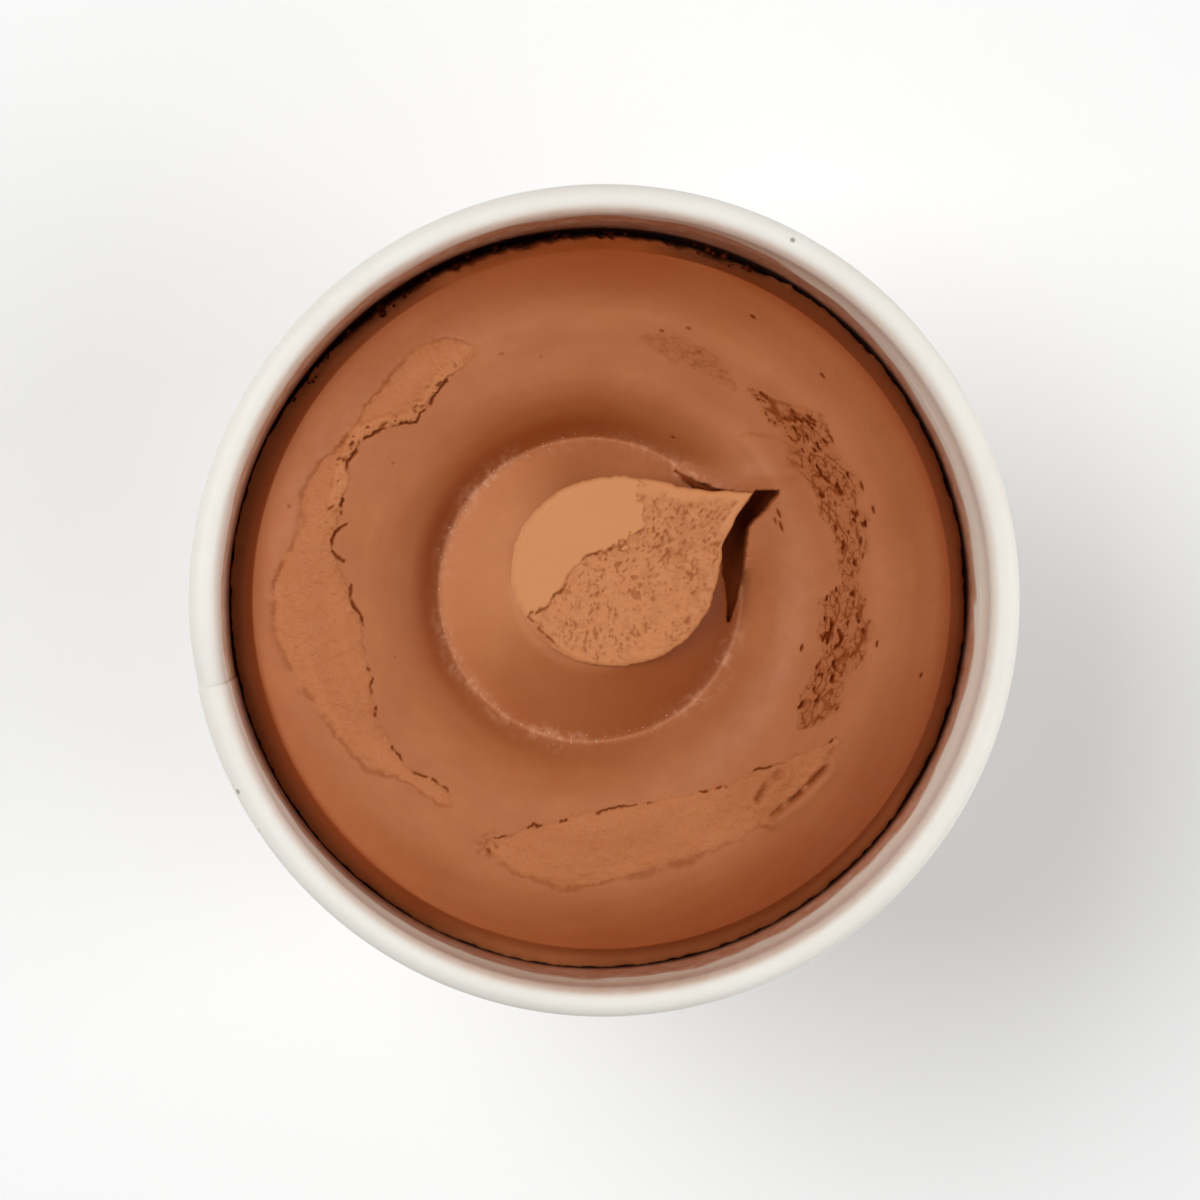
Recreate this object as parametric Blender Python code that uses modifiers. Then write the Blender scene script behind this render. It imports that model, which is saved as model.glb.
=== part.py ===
"""A round paper tub filled with chocolate sorbet, with its lid off.

Units are metres and +Z is up. The origin is on the table, under the middle of the foot.
Depths are measured down from the top of the rim.
"""

import math

import bpy
import numpy as np

# The tub: one curled and seamed paper wall, and a pressed paper base.
TUB_HEIGHT = 0.0930
RIM_RADIUS = 0.0485
BEAD_RADIUS = 0.00175
FOOT_RADIUS = 0.0389
PAPER = 0.0005
FIT = 0.0003
CURL_STEP_DEG = 30
CURL_TUCK_DEG = -120
FOOT_BEND = 0.0003
FOOT_TURN_UP = 0.0060
BASE_HEIGHT = 0.0075
BASE_BEND = 0.0010
SEAM_ANGLE_DEG = 192
SEAM_WIDTH = 0.0090
SEAM_RISE = 0.0003
SEAM_BOTTOM = 0.0015
SEAM_TOP_DEPTH = 0.0042

# The sorbet's top, from the middle outwards: radius of each landmark, and its depth.
DOME_TOP_RADIUS = 0.0093
DOME_TOP_DEPTH = 0.0056
GROOVE_RADIUS = 0.0175
GROOVE_DEPTH = 0.0110
CREST_RADIUS = 0.0300
CREST_DEPTH = 0.0048
SHOULDER_RADIUS = 0.0412
SHOULDER_DEPTH = 0.0072
EDGE_RADIUS = 0.0436
EDGE_DEPTH = 0.0125
CREVICE_DEPTH = 0.0155

# The swirl sits a little off the tub's axis: the x and y of each landmark's own centre.
DOME_CENTRE = (-0.0013, 0.0011)
CREST_CENTRE = (-0.0023, 0.0003)

# Where the lid pulled the crest away: start and end angle, inner and outer radius.
TORN_BANDS = (
    (113, 223, 0.0290, 0.0348),
    (248, 330, 0.0260, 0.0335),
)
TORN_DEPTH = 0.0004
TORN_FADE = 0.0012
TORN_FADE_DEG = 5

# The outer slope stays high at the back and drops straight into the crevice there: the angles
# where that starts and ends, how long it fades in and out, and how much higher the edge is.
HIGH_EDGE_DEG = (76, 128)
HIGH_EDGE_FADE_DEG = 14
HIGH_EDGE_RISE = 0.0042

# The hollow that the beak pressed into the ring's slope, about the dome's centre: angle, inner
# and outer radius. It is narrow behind the beak and widest beside its point.
HOLLOW = (
    (-13, 0.0167, 0.0170),
    (-4, 0.0162, 0.0175),
    (8, 0.0158, 0.0183),
    (19, 0.0164, 0.0194),
    (23, 0.0170, 0.0205),
    (25, 0.0178, 0.0225),
    (28, 0.0199, 0.0248),
    (32, 0.0219, 0.0225),
    (36, 0.0193, 0.0202),
    (40, 0.0177, 0.0191),
    (45, 0.0170, 0.0183),
    (50, 0.0170, 0.0178),
    (55, 0.0172, 0.0175),
)
HOLLOW_DEPTH = 0.0114

# The skin stands up outside the hollow: angle, and its depth along the outer edge there.
LIP = ((2, 0.0110), (12, 0.0074), (26, 0.0068), (31, 0.0054), (38, 0.0068), (48, 0.0088), (58, 0.0110))
LIP_SLOPE = 0.35
LIP_OVERLAP = 0.0018
LIP_REACH = 0.0065
LIP_FADE = 0.0040

# The peak, folded over and pressed flat by the lid: an oval with a drawn-out beak.
TIP_CENTRE = (0.0011, 0.00345)
TIP_HALF_LENGTH = 0.0121
TIP_HALF_WIDTH = 0.0112
TIP_TOP_DEPTH = 0.0046
TIP_THICKNESS = 0.0016
BEAK_ANGLE_DEG = 29.3
BEAK_REACH = 0.0070
BEAK_SPREAD_DEG = 13
BEAK_SPREAD_BELOW_DEG = 9
BEAK_THINNING = 0.45
TIP_CROWDING = 1.5

# The fold's rounded edge, from its top to its underside: share of its reach, share of its
# thickness.
TIP_PROFILE = ((0, 0), (0.93, 0), (0.98, 0.15), (1, 0.45), (0.97, 0.8), (0.9, 1), (0, 1))

TUB_SEGMENTS = 64
SORBET_SEGMENTS = 96
DOME_STEPS = 5
RING_STEPS = 13
OUTER_SLOPE_STEPS = 7
FLANK_STEPS = 3
TIP_SEGMENTS = 72
SEAM_SEGMENTS = 5
FOOT_BEND_STEPS = 2
BASE_BEND_STEPS = 3
MERGE = 0.00005
SHARP_ANGLE = math.radians(35)

CURL_CENTRE = (RIM_RADIUS - BEAD_RADIUS, TUB_HEIGHT - BEAD_RADIUS)
CURL_RADIUS = BEAD_RADIUS - PAPER / 2
LEAN = (CURL_CENTRE[0] - CURL_RADIUS - FOOT_RADIUS + PAPER / 2) / CURL_CENTRE[1]


def clear_scene():
    for obj in list(bpy.data.objects):
        bpy.data.objects.remove(obj)


def add_collection(name):
    collection = bpy.data.collections.new(name)
    bpy.context.scene.collection.children.link(collection)
    return collection


def make_material(name, colour, roughness):
    material = bpy.data.materials.new(name)
    material.use_nodes = True
    shader = material.node_tree.nodes["Principled BSDF"]
    shader.inputs["Base Color"].default_value = (*colour, 1)
    shader.inputs["Roughness"].default_value = roughness
    shader.inputs["Metallic"].default_value = 0
    return material


def ply_radius(height, ply):
    """Radius of the middle of a paper ply: 0 is the side wall, -1 the next one inwards."""
    return FOOT_RADIUS - PAPER / 2 + height * LEAN + ply * (PAPER + FIT)


def arc(centre, radius, start_deg, end_deg, steps):
    angles = np.radians(np.linspace(start_deg, end_deg, steps + 1))
    return [(centre[0] + radius * math.cos(a), centre[1] + radius * math.sin(a)) for a in angles]


def turned(name, points, collection, segments, sweep=math.tau):
    """An object with a profile of (radius, height) points turned about the Z axis."""
    edges = [(i, i + 1) for i in range(len(points) - 1)]
    mesh = bpy.data.meshes.new(name)
    mesh.from_pydata([(radius, 0, height) for radius, height in points], edges, [])
    obj = bpy.data.objects.new(name, mesh)
    collection.objects.link(obj)
    screw = obj.modifiers.new("turn", "SCREW")
    screw.angle = sweep
    screw.steps = segments
    screw.render_steps = segments
    screw.use_merge_vertices = True
    screw.merge_threshold = MERGE
    return obj


def thicken(obj, thickness):
    solidify = obj.modifiers.new("paper", "SOLIDIFY")
    solidify.thickness = thickness
    solidify.offset = 0
    solidify.use_even_offset = True


def apply_modifiers(obj):
    graph = bpy.context.evaluated_depsgraph_get()
    mesh = bpy.data.meshes.new_from_object(obj.evaluated_get(graph))
    obj.modifiers.clear()
    obj.data = mesh


def combine(obj, other, operation):
    """Fuses the other object into this one (UNION) or cuts it out (DIFFERENCE), and removes it."""
    boolean = obj.modifiers.new("combine", "BOOLEAN")
    boolean.operation = operation
    boolean.solver = "EXACT"
    boolean.object = other
    apply_modifiers(obj)
    bpy.data.objects.remove(other)


def finish(obj, material):
    obj.data.materials.clear()
    obj.data.materials.append(material)
    obj.data.shade_smooth()
    obj.data.set_sharp_from_angle(angle=SHARP_ANGLE)


def foot_path():
    """The sheet's bend under the foot, from the side wall to the top of its turned-up edge."""
    bend_height = PAPER / 2 + FOOT_BEND
    outer = (ply_radius(bend_height, 0) - FOOT_BEND, bend_height)
    inner = (ply_radius(bend_height, -2) + FOOT_BEND, bend_height)
    outer_bend = arc(outer, FOOT_BEND, 0, -90, FOOT_BEND_STEPS)
    inner_bend = arc(inner, FOOT_BEND, -90, -180, FOOT_BEND_STEPS)
    return outer_bend + inner_bend + [(ply_radius(FOOT_TURN_UP, -2), FOOT_TURN_UP)]


def make_wall(parts, helpers, material):
    """The side wall: curled out at the rim, tucked up under the foot, lapped at its side seam."""
    curl_steps = (180 - CURL_TUCK_DEG) // CURL_STEP_DEG
    curl = arc(CURL_CENTRE, CURL_RADIUS, CURL_TUCK_DEG, 180, curl_steps)
    wall = turned("cup_wall", curl + foot_path(), parts, TUB_SEGMENTS)
    thicken(wall, PAPER)

    seam_heights = (TUB_HEIGHT - SEAM_TOP_DEPTH, SEAM_BOTTOM)
    seam_path = [(ply_radius(height, 0) + SEAM_RISE, height) for height in seam_heights]
    sweep = SEAM_WIDTH / ply_radius(TUB_HEIGHT / 2, 0)
    seam = turned("seam_lap", seam_path, helpers, SEAM_SEGMENTS, sweep)
    thicken(seam, PAPER)
    seam.rotation_euler.z = math.radians(SEAM_ANGLE_DEG)
    combine(wall, seam, "UNION")
    finish(wall, material)


def make_base(parts, material):
    """The base: a disc that stands clear of the table, its skirt held in the foot's fold."""
    bend_height = BASE_HEIGHT - BASE_BEND
    bend_centre = (ply_radius(bend_height, -1) - BASE_BEND, bend_height)
    skirt_end = (ply_radius(PAPER + FIT, -1), PAPER + FIT)
    path = [(0, BASE_HEIGHT)] + arc(bend_centre, BASE_BEND, 90, 0, BASE_BEND_STEPS) + [skirt_end]
    base = turned("cup_base", path, parts, TUB_SEGMENTS)
    thicken(base, PAPER)
    apply_modifiers(base)
    finish(base, material)


def stretch(start, end, steps, shape):
    """Points from after start to end, each (radius, depth); shape eases the depth from 0 to 1."""
    shares = [i / steps for i in range(1, steps + 1)]
    return [
        (start[0] + (end[0] - start[0]) * s, start[1] + (end[1] - start[1]) * shape(s))
        for s in shares
    ]


def sorbet_profile():
    """The sorbet's outline from the middle of its top, out to the wall and in along the base."""
    dome_top = (DOME_TOP_RADIUS, DOME_TOP_DEPTH)
    groove = (GROOVE_RADIUS, GROOVE_DEPTH)
    crest = (CREST_RADIUS, CREST_DEPTH)
    shoulder = (SHOULDER_RADIUS, SHOULDER_DEPTH)
    edge = (EDGE_RADIUS, EDGE_DEPTH)
    top = [(0, DOME_TOP_DEPTH), dome_top]
    top += stretch(dome_top, groove, DOME_STEPS, lambda s: s)
    top += stretch(groove, crest, RING_STEPS, lambda s: 1 - (1 - s) ** 3)
    top += stretch(crest, shoulder, OUTER_SLOPE_STEPS, lambda s: s**2)
    top += stretch(shoulder, edge, FLANK_STEPS, lambda s: s)
    outline = [(radius, TUB_HEIGHT - depth) for radius, depth in top]
    bottom = BASE_HEIGHT + PAPER / 2 + FIT
    for height in (TUB_HEIGHT - CREVICE_DEPTH, bottom):
        outline.append((ply_radius(height, 0) - PAPER / 2 - FIT, height))
    return outline + [(0, bottom)]


def swirl_shift(radius):
    """How far the swirl's circle of this radius is off the tub's axis."""
    landmarks = (DOME_TOP_RADIUS, GROOVE_RADIUS, CREST_RADIUS, SHOULDER_RADIUS)
    centres = (DOME_CENTRE, DOME_CENTRE, CREST_CENTRE, (0, 0))
    return [np.interp(radius, landmarks, [centre[i] for centre in centres]) for i in (0, 1)]


def inside(value, low, high, fade):
    """1 between low and high, 0 outside, with a straight fade just inside each end."""
    return min(1, max(0, min(value - low, high - value) / fade))


def about(centre, x, y):
    """Angle in degrees and radius of a point about a centre."""
    across = (x - centre[0], y - centre[1])
    return math.degrees(math.atan2(across[1], across[0])), math.hypot(*across)


def torn_depth(x, y):
    """How much of the crest the lid took away here."""
    angle, radius = about(CREST_CENTRE, x, y)
    angle %= 360
    return TORN_DEPTH * max(
        inside(angle, start, end, TORN_FADE_DEG) * inside(radius, inner, outer, TORN_FADE)
        for start, end, inner, outer in TORN_BANDS
    )


def lip_rise(x, y, depth):
    """How much higher the skin stands here, outside the hollow, than the plain ring does."""
    angle, radius = about(DOME_CENTRE, x, y)
    angles, _, outer = zip(*HOLLOW)
    past = radius - np.interp(angle, angles, outer)
    if past < -LIP_OVERLAP or not LIP[0][0] < angle < LIP[-1][0]:
        return 0
    lip = np.interp(angle, *zip(*LIP)) - LIP_SLOPE * past
    return max(0, depth - lip) * inside(past, -math.inf, LIP_REACH, LIP_FADE)


def edge_rise(x, y, radius):
    """How much higher the outer slope stays here than the plain one does."""
    angle = about((0, 0), x, y)[0]
    share = max(0, (radius - SHOULDER_RADIUS) / (EDGE_RADIUS - SHOULDER_RADIUS))
    return HIGH_EDGE_RISE * share * inside(angle, *HIGH_EDGE_DEG, HIGH_EDGE_FADE_DEG)


def shape_sorbet_top(mesh):
    below_edge = TUB_HEIGHT - EDGE_DEPTH - MERGE
    for vertex in mesh.vertices:
        if vertex.co.z < below_edge:
            continue
        radius = math.hypot(vertex.co.x, vertex.co.y)
        shift = swirl_shift(radius)
        x, y = vertex.co.x + shift[0], vertex.co.y + shift[1]
        rise = lip_rise(x, y, TUB_HEIGHT - vertex.co.z) + edge_rise(x, y, radius)
        vertex.co = (x, y, vertex.co.z + rise - torn_depth(x, y))


def make_hollow(helpers):
    """A cutter with the hollow's outline, from its bottom up to the rim's level."""
    inner = [(math.radians(angle), radius) for angle, radius, _ in HOLLOW]
    outer = [(math.radians(angle), radius) for angle, _, radius in HOLLOW]
    outline = [
        (DOME_CENTRE[0] + radius * math.cos(angle), DOME_CENTRE[1] + radius * math.sin(angle))
        for angle, radius in outer + inner[::-1]
    ]
    count = len(outline)
    heights = (TUB_HEIGHT - HOLLOW_DEPTH, TUB_HEIGHT)
    corners = [(x, y, height) for height in heights for x, y in outline]
    sides = [(i, (i + 1) % count, count + (i + 1) % count, count + i) for i in range(count)]
    ends = [tuple(reversed(range(count))), tuple(range(count, 2 * count))]
    mesh = bpy.data.meshes.new("hollow")
    mesh.from_pydata(corners, [], sides + ends)
    cutter = bpy.data.objects.new("hollow", mesh)
    helpers.objects.link(cutter)
    return cutter


def beak_share(turn):
    """1 at the beak's point, falling away steeply below it and more gently above it."""
    spread = math.radians(BEAK_SPREAD_DEG if turn > 0 else BEAK_SPREAD_BELOW_DEG)
    return math.exp(-abs(turn) / spread)


def shape_tip(mesh):
    """Draws the unit disc out to the oval and its beak, which thins towards the point.

    The disc's spokes are turned to start at the beak and crowded towards it.
    """
    for vertex in mesh.vertices:
        share = math.hypot(vertex.co.x, vertex.co.y)
        spoke = math.atan2(vertex.co.y, vertex.co.x)
        turn = math.copysign(math.pi * abs(spoke / math.pi) ** TIP_CROWDING, spoke)
        angle = turn + math.radians(BEAK_ANGLE_DEG)
        beak = beak_share(turn)
        oval = 1 / math.hypot(math.cos(angle) / TIP_HALF_LENGTH, math.sin(angle) / TIP_HALF_WIDTH)
        reach = share * (oval + BEAK_REACH * beak)
        vertex.co.x = TIP_CENTRE[0] + reach * math.cos(angle)
        vertex.co.y = TIP_CENTRE[1] + reach * math.sin(angle)
        top = TUB_HEIGHT - TIP_TOP_DEPTH
        vertex.co.z = top + (vertex.co.z - top) * (1 - BEAK_THINNING * beak * share)


def make_tip(helpers):
    top = TUB_HEIGHT - TIP_TOP_DEPTH
    profile = [(share, top - level * TIP_THICKNESS) for share, level in TIP_PROFILE]
    tip = turned("folded_tip", profile, helpers, TIP_SEGMENTS)
    apply_modifiers(tip)
    shape_tip(tip.data)
    return tip


def make_sorbet(parts, helpers, material):
    """The sorbet: one frozen mass that fills the tub, with the fold of its peak on top."""
    sorbet = turned("sorbet", sorbet_profile(), parts, SORBET_SEGMENTS)
    apply_modifiers(sorbet)
    shape_sorbet_top(sorbet.data)
    combine(sorbet, make_hollow(helpers), "DIFFERENCE")
    combine(sorbet, make_tip(helpers), "UNION")
    finish(sorbet, material)


def main():
    clear_scene()
    parts = add_collection("chocolate_sorbet_cup")
    helpers = add_collection("helpers")
    paper = make_material("white_paper", (0.86, 0.80, 0.73), 0.6)
    chocolate = make_material("chocolate_sorbet", (0.33, 0.11, 0.045), 0.55)
    make_wall(parts, helpers, paper)
    make_base(parts, paper)
    make_sorbet(parts, helpers, chocolate)


main()
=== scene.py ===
"""A paper tub of chocolate sorbet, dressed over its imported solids.

Sizes are in millimetres and +Z is up; depths are measured down from the top of the rim.
Each mesh is scaled to metres as it is made.
"""

import math

import bmesh
import bpy
import numpy as np
from mathutils import Matrix, Vector


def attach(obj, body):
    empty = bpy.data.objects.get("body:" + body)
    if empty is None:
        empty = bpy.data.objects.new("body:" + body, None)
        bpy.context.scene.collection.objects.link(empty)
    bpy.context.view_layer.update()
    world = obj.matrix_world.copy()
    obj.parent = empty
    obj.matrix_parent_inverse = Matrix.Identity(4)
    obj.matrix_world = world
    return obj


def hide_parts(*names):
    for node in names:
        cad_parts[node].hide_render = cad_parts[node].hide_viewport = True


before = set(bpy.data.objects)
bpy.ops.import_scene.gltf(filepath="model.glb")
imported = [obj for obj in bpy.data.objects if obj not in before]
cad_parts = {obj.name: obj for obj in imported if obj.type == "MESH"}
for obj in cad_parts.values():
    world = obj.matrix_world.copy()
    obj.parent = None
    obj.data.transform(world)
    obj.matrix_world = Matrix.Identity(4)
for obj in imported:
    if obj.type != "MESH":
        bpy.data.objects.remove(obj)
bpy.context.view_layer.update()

# ---- Side wall ------------------------------------------------------------------------
# One sheet of white coated board, wrapped round and lapped at a side seam. Its top edge is
# curled outwards into the rim's bead, and its foot is tucked under round the base's skirt.

MM = 0.001
TUB_HEIGHT = 93.0
RIM_RADIUS = 48.5
BEAD_RADIUS = 1.75
FOOT_RADIUS = 38.9
BOARD = 0.5
PLY_GAP = 0.3
FOOT_BEND = 0.3
FOOT_TURN_UP = 6.0
CURL_TUCK_DEG = -120
WALL_SEGMENTS = 288
WALL_ROWS = 50
SEAM_DEG = 192.0
SEAM_LAP_DEG = 11.4
SEAM_OUTER_STEP = 0.3
SEAM_INNER_STEP = 0.16
SEAM_EDGE_DEG = 0.16
# Heights that the seam's outer step runs between, and over which its inner step comes in.
SEAM_LOW, SEAM_HIGH = 1.5, 88.8
SEAM_INNER_FADE = (9.0, 12.0)
# How far the board sways in, over lumps this long, the heights over which that comes in, and
# where it ends, so that the foot and the bead stay true.
SWAY = 0.1
SWAY_LENGTH = 9.0
SWAY_FADE = (9.0, 20.0)
SWAY_TOP = 87.0

CURL_MIDDLE = (RIM_RADIUS - BEAD_RADIUS, TUB_HEIGHT - BEAD_RADIUS)
CURL_RADIUS = BEAD_RADIUS - BOARD / 2
WALL_LEAN = (CURL_MIDDLE[0] - CURL_RADIUS - FOOT_RADIUS + BOARD / 2) / CURL_MIDDLE[1]

# The sorbet's brown film on the inside, by direction: degrees, the depth where it starts, its
# strength there, and the strength of the faint smear above it, partly a real smear and partly
# painted shade under the bead.
FILM_REACH = (
    (0, 8.8, 0.88, 0.20), (40, 8.5, 0.88, 0.22), (68, 4.5, 0.95, 0.45), (90, 2.2, 1.00, 0.50),
    (150, 2.6, 0.95, 0.50), (185, 4.6, 0.75, 0.14), (230, 7.0, 0.80, 0.34), (275, 5.8, 0.95, 0.62),
    (320, 7.2, 0.92, 0.36), (360, 8.8, 0.88, 0.20),
)
FILM_FADE = 2.0
FILM_WAVER = 0.9
FILM_WAVER_LENGTH = 4.0
# Depths between which the film closes everywhere, and how strong it is there.
FILM_CLOSES = (9.4, 10.6)
FILM_CLOSED = 0.95
# The faint smear and its painted shade are weaker below these depths.
SMEAR_AND_SHADE_THINS = (3.0, 5.0)
# The stretch of wall that has finer rows, for the film's edge.
FILM_ZONE = 14.0
FILM_ROWS = 40
# Depth of the crevice between sorbet and wall, how far below it the wall is painted fully dark,
# how far above it the painted shade starts, how much less that is at the left, where light falls
# in, and from which x to which that changes.
CREVICE_DEPTH = 12.7
CREVICE_BLACK = 0.7
CREVICE_SHADE = 1.9
CREVICE_LIT = 1.6
CREVICE_LIT_X = (-15.0, -35.0)
# Film and shade are on the inner face only: above this height and, on the bead, down to this
# depth and no nearer than this to its middle.
PAINTED_FROM = 12.0
PAINTED_BEAD_DEPTH = 2.0
PAINTED_BEAD_MARGIN = 0.3
LUMP_GRID = 128


def ply_radius(height, ply):
    """Radius of the middle of a board ply: 0 is the side wall, -1 the next one inwards."""
    return FOOT_RADIUS - BOARD / 2 + height * WALL_LEAN + ply * (BOARD + PLY_GAP)


def arc(centre, radius, start_deg, end_deg, steps):
    turns = np.radians(np.linspace(start_deg, end_deg, steps + 1))
    return [(centre[0] + radius * math.cos(t), centre[1] + radius * math.sin(t)) for t in turns]


def straight(start, end, steps):
    """Points after start and before end, on the straight line between them."""
    shares = np.arange(1, steps) / steps
    return [tuple(np.array(start) + (np.array(end) - np.array(start)) * s) for s in shares]


def lumps(x, y, size, seed):
    """Smooth unevenness from -1 to 1, with lumps about this many millimetres across."""
    grid = np.random.default_rng(seed).uniform(-1, 1, (LUMP_GRID, LUMP_GRID))
    # The grid is turned a little, so that its lines don't run along x and y.
    u = (x * 0.8 + y * 0.6) / size
    v = (y * 0.8 - x * 0.6) / size
    left, low = np.floor(u).astype(int), np.floor(v).astype(int)
    across, up = u - left, v - low
    across, up = across * across * (3 - 2 * across), up * up * (3 - 2 * up)
    left, right = left % LUMP_GRID, (left + 1) % LUMP_GRID
    low, high = low % LUMP_GRID, (low + 1) % LUMP_GRID
    at_low = grid[left, low] * (1 - across) + grid[right, low] * across
    at_high = grid[left, high] * (1 - across) + grid[right, high] * across
    return at_low * (1 - up) + at_high * up


def unevenness(x, y, *layers):
    """Layers of lumps added up; each has its size, its height and its seed."""
    return sum(height * lumps(x, y, size, seed) for size, height, seed in layers)


def ease(value, start, end):
    """0 at start, 1 at end, with soft ends; works on arrays and either way round."""
    share = np.clip((value - start) / (end - start), 0, 1)
    return share * share * (3 - 2 * share)


def sheet_section(path, thickness):
    """A board sheet's closed section: points on its inner face, then back along its outer face.

    Also gives each point's unit direction out of the sheet, and whether it's on the inner face.
    """
    path = np.array(path)
    along = np.gradient(path, axis=0)
    along /= np.linalg.norm(along, axis=1)[:, None]
    out = np.stack([along[:, 1], -along[:, 0]], 1)
    inner, outer = path + out * thickness / 2, path - out * thickness / 2
    points = np.concatenate([inner, outer[::-1]])
    outward = np.concatenate([out, -out[::-1]])
    is_inner = np.arange(len(points)) < len(path)
    return points, outward, is_inner


def make_piece(name, corners, faces, slot, meets_axis=False):
    """A mesh object from corners in millimetres that rides on the tub."""
    shape = bmesh.new()
    made = [shape.verts.new(corner) for corner in np.asarray(corners) * MM]
    for face in faces:
        shape.faces.new([made[i] for i in face])
    if meets_axis:
        bmesh.ops.remove_doubles(shape, verts=shape.verts, dist=0.000001)
    bmesh.ops.recalc_face_normals(shape, faces=shape.faces)
    mesh = bpy.data.meshes.new(name)
    shape.to_mesh(mesh)
    shape.free()
    mesh.shade_smooth()
    piece = bpy.data.objects.new(name, mesh)
    bpy.context.scene.collection.objects.link(piece)
    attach(piece, "root")
    return piece


def turn_section(turns, section):
    """Corners and faces of a section turned all the way round; section(turn) gives its points."""
    rings = [section(turn) for turn in turns]
    count = len(rings[0])
    corners = [
        (radius * math.cos(turn), radius * math.sin(turn), height)
        for turn, ring in zip(turns, rings)
        for radius, height in ring
    ]
    faces = []
    for i in range(len(turns)):
        here, there = i * count, (i + 1) % len(turns) * count
        for j in range(count):
            k = (j + 1) % count
            faces.append((here + j, here + k, there + k, there + j))
    return corners, faces


def paint_mask(piece, name, values):
    """Stores a number from 0 to 1 at each corner, for the material to read."""
    stored = piece.data.attributes.new(name, "FLOAT", "POINT")
    stored.data.foreach_set("value", np.asarray(values, np.float32))


def places(piece):
    """The piece's corners in millimetres, one row each."""
    flat = np.zeros(len(piece.data.vertices) * 3)
    piece.data.vertices.foreach_get("co", flat)
    return flat.reshape(-1, 3) / MM


def add_node(material, kind, settings=None, **sockets):
    """A shader node; a socket, by its name or as _ and its number, takes a value or an output."""
    node = material.node_tree.nodes.new("ShaderNode" + kind)
    for name, value in (settings or {}).items():
        setattr(node, name, value)
    for name, value in sockets.items():
        plug = node.inputs[int(name[1:])] if name[1:].isdigit() else node.inputs[name.replace("_", " ")]
        if isinstance(value, bpy.types.NodeSocket):
            material.node_tree.links.new(value, plug)
        else:
            plug.default_value = value
    return node


def mask(material, name):
    return add_node(material, "Attribute", {"attribute_name": name}).outputs["Fac"]


def grain(material, size, detail=3.0, roughness=0.6):
    """Noise from 0 to 1 whose spots are about this many millimetres across."""
    place = add_node(material, "TexCoord").outputs["Object"]
    return add_node(
        material, "TexNoise", Vector=place, Scale=1000 / size, Detail=detail, Roughness=roughness
    ).outputs["Fac"]


def spread(material, value, low, high, to_low=0.0, to_high=1.0):
    """Stretches a value between low and high over a new range, and clips it there."""
    return add_node(
        material, "MapRange", Value=value, From_Min=low, From_Max=high, To_Min=to_low, To_Max=to_high
    ).outputs["Result"]


def blend_colour(material, share, first, second):
    """Share 0 gives the first colour, 1 the second."""
    mix = add_node(material, "Mix", {"data_type": "RGBA"}, _0=share)
    for place, value in ((6, first), (7, second)):
        if isinstance(value, bpy.types.NodeSocket):
            material.node_tree.links.new(value, mix.inputs[place])
        else:
            mix.inputs[place].default_value = (*value, 1)
    return mix.outputs[2]


def product(material, first, second):
    return add_node(material, "Math", {"operation": "MULTIPLY"}, _0=first, _1=second).outputs[0]


def relief(material, height, distance, strength=1.0, under=None):
    """Fine surface relief of this depth in millimetres, on top of another relief."""
    bump = add_node(material, "Bump", Height=height, Distance=distance * MM, Strength=strength)
    if under is not None:
        material.node_tree.links.new(under, bump.inputs["Normal"])
    return bump.outputs["Normal"]


def start_material(name):
    material = bpy.data.materials.new(name)
    material.use_nodes = True
    return material, material.node_tree.nodes["Principled BSDF"]


def join(material, value, shader, socket):
    material.node_tree.links.new(value, shader.inputs[socket])


def soften(shader, weight, radius):
    """Lets this share of the light spread under the surface; radius is in mm, for each colour."""
    shader.inputs["Subsurface Weight"].default_value = weight
    shader.inputs["Subsurface Scale"].default_value = MM
    shader.inputs["Subsurface Radius"].default_value = radius


foot_low = (ply_radius(BOARD / 2 + FOOT_BEND, 0) - FOOT_BEND, BOARD / 2 + FOOT_BEND)
foot_in = (ply_radius(BOARD / 2 + FOOT_BEND, -2) + FOOT_BEND, BOARD / 2 + FOOT_BEND)
wall_curl = arc(CURL_MIDDLE, CURL_RADIUS, CURL_TUCK_DEG, 180, 30)
wall_foot = arc(foot_low, FOOT_BEND, 0, -90, 4) + arc(foot_in, FOOT_BEND, -90, -180, 4)
film_end = (wall_curl[-1][0] - FILM_ZONE * WALL_LEAN, wall_curl[-1][1] - FILM_ZONE)
wall_path = wall_curl + straight(wall_curl[-1], film_end, FILM_ROWS) + [film_end]
wall_path += straight(film_end, wall_foot[0], WALL_ROWS) + wall_foot
wall_path.append((ply_radius(FOOT_TURN_UP, -2), FOOT_TURN_UP))
wall_section, wall_out, wall_is_inner = sheet_section(wall_path, BOARD)


def lap_rise(turn_deg):
    """How far the seam lifts the inner face and the outer face, as shares of their steps."""
    past = (turn_deg - SEAM_DEG) % 360
    inner = -float(ease(360 - past, SEAM_LAP_DEG, 0.5)) * float(past > SEAM_LAP_DEG)
    outer = float(ease(past, 0, 1.2)) * float(ease(past, SEAM_LAP_DEG + SEAM_EDGE_DEG, SEAM_LAP_DEG))
    return inner, outer


def wall_section_at(turn):
    """The wall's section in this direction in radians, with the seam's steps and the sway."""
    inner_rise, outer_rise = lap_rise(math.degrees(turn))
    heights = wall_section[:, 1]
    inner_step = inner_rise * SEAM_INNER_STEP * ease(heights, *SEAM_INNER_FADE)
    outer_step = outer_rise * SEAM_OUTER_STEP * ((heights > SEAM_LOW) & (heights < SEAM_HIGH))
    rise = np.where(wall_is_inner, inner_step, outer_step)
    sway = SWAY / 2 * (lumps(RIM_RADIUS * turn, heights, SWAY_LENGTH, 3) - 1)
    section = wall_section + wall_out * rise[:, None]
    section[:, 0] += sway * ease(heights, *SWAY_FADE) * (heights < SWAY_TOP)
    return section


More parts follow.
